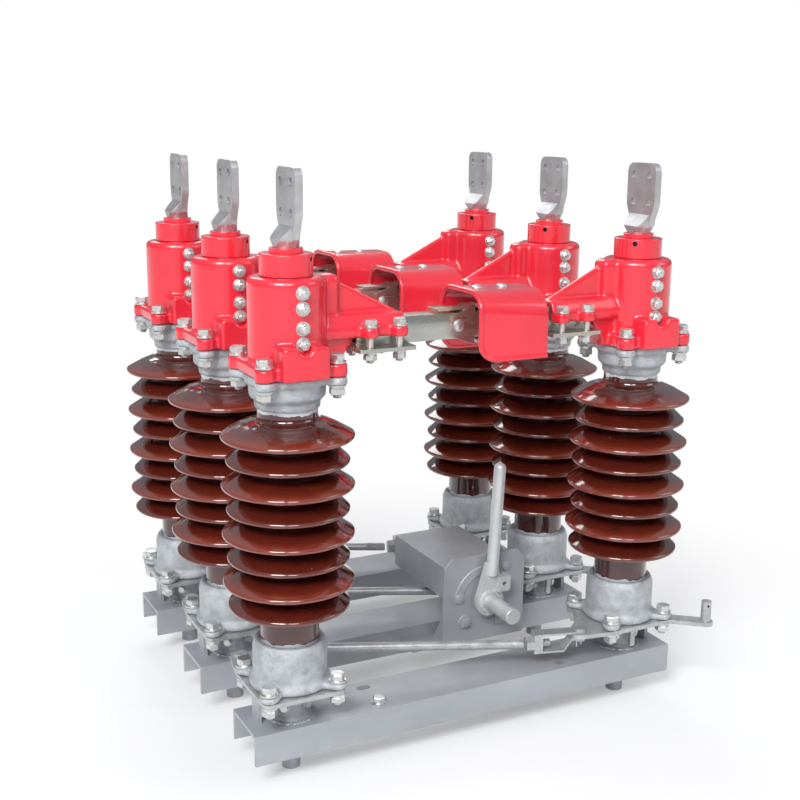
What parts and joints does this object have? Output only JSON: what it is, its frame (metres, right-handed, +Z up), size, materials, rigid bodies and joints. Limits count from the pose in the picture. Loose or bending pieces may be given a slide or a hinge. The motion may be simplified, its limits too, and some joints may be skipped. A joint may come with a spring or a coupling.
{
  "type": "three-pole centre-break outdoor disconnector",
  "caption": "Outdoor centre-break disconnector: brown post insulators on steel channels, red heads with swinging contact arms and a hand-operated mechanism.",
  "frame": {"origin": "middle of the four fixing slots in the top of the middle channel", "axes": "+X along the channels from the left post to the right post, +Y from the front pole to the rear pole, +Z up"},
  "size_m": [0.725, 0.652, 0.7881],
  "materials": {
    "red_paint": "gloss",
    "brown_glaze": "gloss",
    "silver_casting": "satin",
    "grey_paint": "satin",
    "galvanized_steel": "satin",
    "cast_aluminium": "satin",
    "bare_metal": "satin"
  },
  "bodies": {
    "base": {"front_channel": "grey_paint", "middle_channel": "grey_paint", "rear_channel": "grey_paint", "mechanism_bracket": "grey_paint", "mechanism_cover": "grey_paint"},
    "operating_handle": {"operating_shaft": "grey_paint", "operating_handle": "grey_paint"},
    "front_left_post": {"front_left_crank": "galvanized_steel", "front_left_fittings": "silver_casting", "front_left_insulator": "brown_glaze", "front_left_head": "red_paint", "front_blade": "bare_metal"},
    "front_left_terminal": {"front_left_cap": "red_paint", "front_left_terminal": "cast_aluminium"},
    "front_right_post": {"front_right_crank": "galvanized_steel", "front_right_fittings": "silver_casting", "front_right_insulator": "brown_glaze", "front_right_head": "red_paint", "front_fingers": "bare_metal", "front_hood": "red_paint"},
    "front_right_terminal": {"front_right_cap": "red_paint", "front_right_terminal": "cast_aluminium"},
    "front_rod": {"front_rod": "galvanized_steel"},
    "front_rod_fork": {"front_rod_fork": "galvanized_steel"},
    "middle_left_post": {"middle_left_crank": "galvanized_steel", "middle_left_fittings": "silver_casting", "middle_left_insulator": "brown_glaze", "middle_left_head": "red_paint", "middle_blade": "bare_metal"},
    "middle_left_terminal": {"middle_left_cap": "red_paint", "middle_left_terminal": "cast_aluminium"},
    "middle_right_post": {"middle_right_crank": "galvanized_steel", "middle_right_fittings": "silver_casting", "middle_right_insulator": "brown_glaze", "middle_right_head": "red_paint", "middle_fingers": "bare_metal", "middle_hood": "red_paint"},
    "middle_right_terminal": {"middle_right_cap": "red_paint", "middle_right_terminal": "cast_aluminium"},
    "middle_rod": {"middle_rod": "galvanized_steel"},
    "middle_rod_fork": {"middle_rod_fork": "galvanized_steel"},
    "rear_left_post": {"rear_left_crank": "galvanized_steel", "rear_left_fittings": "silver_casting", "rear_left_insulator": "brown_glaze", "rear_left_head": "red_paint", "rear_blade": "bare_metal"},
    "rear_left_terminal": {"rear_left_cap": "red_paint", "rear_left_terminal": "cast_aluminium"},
    "rear_right_post": {"rear_right_crank": "galvanized_steel", "rear_right_fittings": "silver_casting", "rear_right_insulator": "brown_glaze", "rear_right_head": "red_paint", "rear_fingers": "bare_metal", "rear_hood": "red_paint"},
    "rear_right_terminal": {"rear_right_cap": "red_paint", "rear_right_terminal": "cast_aluminium"},
    "rear_rod": {"rear_rod": "galvanized_steel"},
    "rear_rod_fork": {"rear_rod_fork": "galvanized_steel"}
  },
  "joints": [
    {"name": "front_left_turn", "type": "hinge", "parent": "base", "child": "front_left_post", "pos_m": [-0.265, -0.225, 0.0413], "axis": [0, 0, -1], "range_deg": [0, 90]},
    {"name": "front_right_turn", "type": "hinge", "parent": "base", "child": "front_right_post", "pos_m": [0.265, -0.225, 0.0413], "axis": [0, 0, 1], "range_deg": [0, 90]},
    {"name": "front_rod_turn", "type": "hinge", "parent": "front_left_post", "child": "front_rod", "pos_m": [-0.2992, -0.13103, 0.0443], "axis": [0, 0, 1], "range_deg": [0, 90.01]},
    {"name": "front_fork_turn", "type": "hinge", "parent": "front_right_post", "child": "front_rod_fork", "pos_m": [0.17103, -0.2592, 0.0443], "axis": [0, 0, -1], "range_deg": [0, 90.01]},
    {"name": "front_left_terminal_turn", "type": "hinge", "parent": "front_left_post", "child": "front_left_terminal", "pos_m": [-0.265, -0.225, 0.583], "axis": [0, 0, 1], "range_deg": [0, 90]},
    {"name": "front_right_terminal_turn", "type": "hinge", "parent": "front_right_post", "child": "front_right_terminal", "pos_m": [0.265, -0.225, 0.583], "axis": [0, 0, -1], "range_deg": [0, 90]},
    {"name": "middle_left_turn", "type": "hinge", "parent": "base", "child": "middle_left_post", "pos_m": [-0.265, 0, 0.0413], "axis": [0, 0, -1], "range_deg": [0, 15]},
    {"name": "middle_right_turn", "type": "hinge", "parent": "base", "child": "middle_right_post", "pos_m": [0.265, 0, 0.0413], "axis": [0, 0, 1], "range_deg": [0, 15]},
    {"name": "middle_rod_turn", "type": "hinge", "parent": "middle_left_post", "child": "middle_rod", "pos_m": [-0.2992, 0.09397, 0.0443], "axis": [0, 0, 1], "range_deg": [0, 11.29]},
    {"name": "middle_fork_turn", "type": "hinge", "parent": "middle_right_post", "child": "middle_rod_fork", "pos_m": [0.17103, -0.0342, 0.0443], "axis": [0, 0, -1], "range_deg": [0, 18.73]},
    {"name": "middle_left_terminal_turn", "type": "hinge", "parent": "middle_left_post", "child": "middle_left_terminal", "pos_m": [-0.265, 0, 0.583], "axis": [0, 0, 1], "range_deg": [0, 15]},
    {"name": "middle_right_terminal_turn", "type": "hinge", "parent": "middle_right_post", "child": "middle_right_terminal", "pos_m": [0.265, 0, 0.583], "axis": [0, 0, -1], "range_deg": [0, 15]},
    {"name": "rear_left_turn", "type": "hinge", "parent": "base", "child": "rear_left_post", "pos_m": [-0.265, 0.225, 0.0413], "axis": [0, 0, -1], "range_deg": [0, 24]},
    {"name": "rear_right_turn", "type": "hinge", "parent": "base", "child": "rear_right_post", "pos_m": [0.265, 0.225, 0.0413], "axis": [0, 0, 1], "range_deg": [0, 24]},
    {"name": "rear_rod_turn", "type": "hinge", "parent": "rear_left_post", "child": "rear_rod", "pos_m": [-0.2992, 0.31897, 0.0443], "axis": [0, 0, 1], "range_deg": [0, 18.69]},
    {"name": "rear_fork_turn", "type": "hinge", "parent": "rear_right_post", "child": "rear_rod_fork", "pos_m": [0.17103, 0.1908, 0.0443], "axis": [0, 0, -1], "range_deg": [0, 29.33]},
    {"name": "rear_left_terminal_turn", "type": "hinge", "parent": "rear_left_post", "child": "rear_left_terminal", "pos_m": [-0.265, 0.225, 0.583], "axis": [0, 0, 1], "range_deg": [0, 24]},
    {"name": "rear_right_terminal_turn", "type": "hinge", "parent": "rear_right_post", "child": "rear_right_terminal", "pos_m": [0.265, 0.225, 0.583], "axis": [0, 0, -1], "range_deg": [0, 24]},
    {"name": "handle_turn", "type": "hinge", "parent": "base", "child": "operating_handle", "pos_m": [0.114, -0.0925, 0.046], "axis": [0, -1, 0], "range_deg": [0, 90]}
  ],
  "couplings": [
    {"joint": "front_right_turn", "follows": "front_left_turn", "ratio": 1},
    {"joint": "front_rod_turn", "follows": "front_left_turn", "ratio": 1},
    {"joint": "front_fork_turn", "follows": "front_left_turn", "ratio": 1},
    {"joint": "front_left_terminal_turn", "follows": "front_left_turn", "ratio": 1},
    {"joint": "front_right_terminal_turn", "follows": "front_left_turn", "ratio": 1},
    {"joint": "middle_right_turn", "follows": "middle_left_turn", "ratio": 1},
    {"joint": "middle_rod_turn", "follows": "middle_left_turn", "ratio": 0.7521},
    {"joint": "middle_fork_turn", "follows": "middle_left_turn", "ratio": 1.2479},
    {"joint": "middle_left_terminal_turn", "follows": "middle_left_turn", "ratio": 1},
    {"joint": "middle_right_terminal_turn", "follows": "middle_left_turn", "ratio": 1},
    {"joint": "rear_right_turn", "follows": "rear_left_turn", "ratio": 1},
    {"joint": "rear_rod_turn", "follows": "rear_left_turn", "ratio": 0.7785},
    {"joint": "rear_fork_turn", "follows": "rear_left_turn", "ratio": 1.2215},
    {"joint": "rear_left_terminal_turn", "follows": "rear_left_turn", "ratio": 1},
    {"joint": "rear_right_terminal_turn", "follows": "rear_left_turn", "ratio": 1}
  ]
}
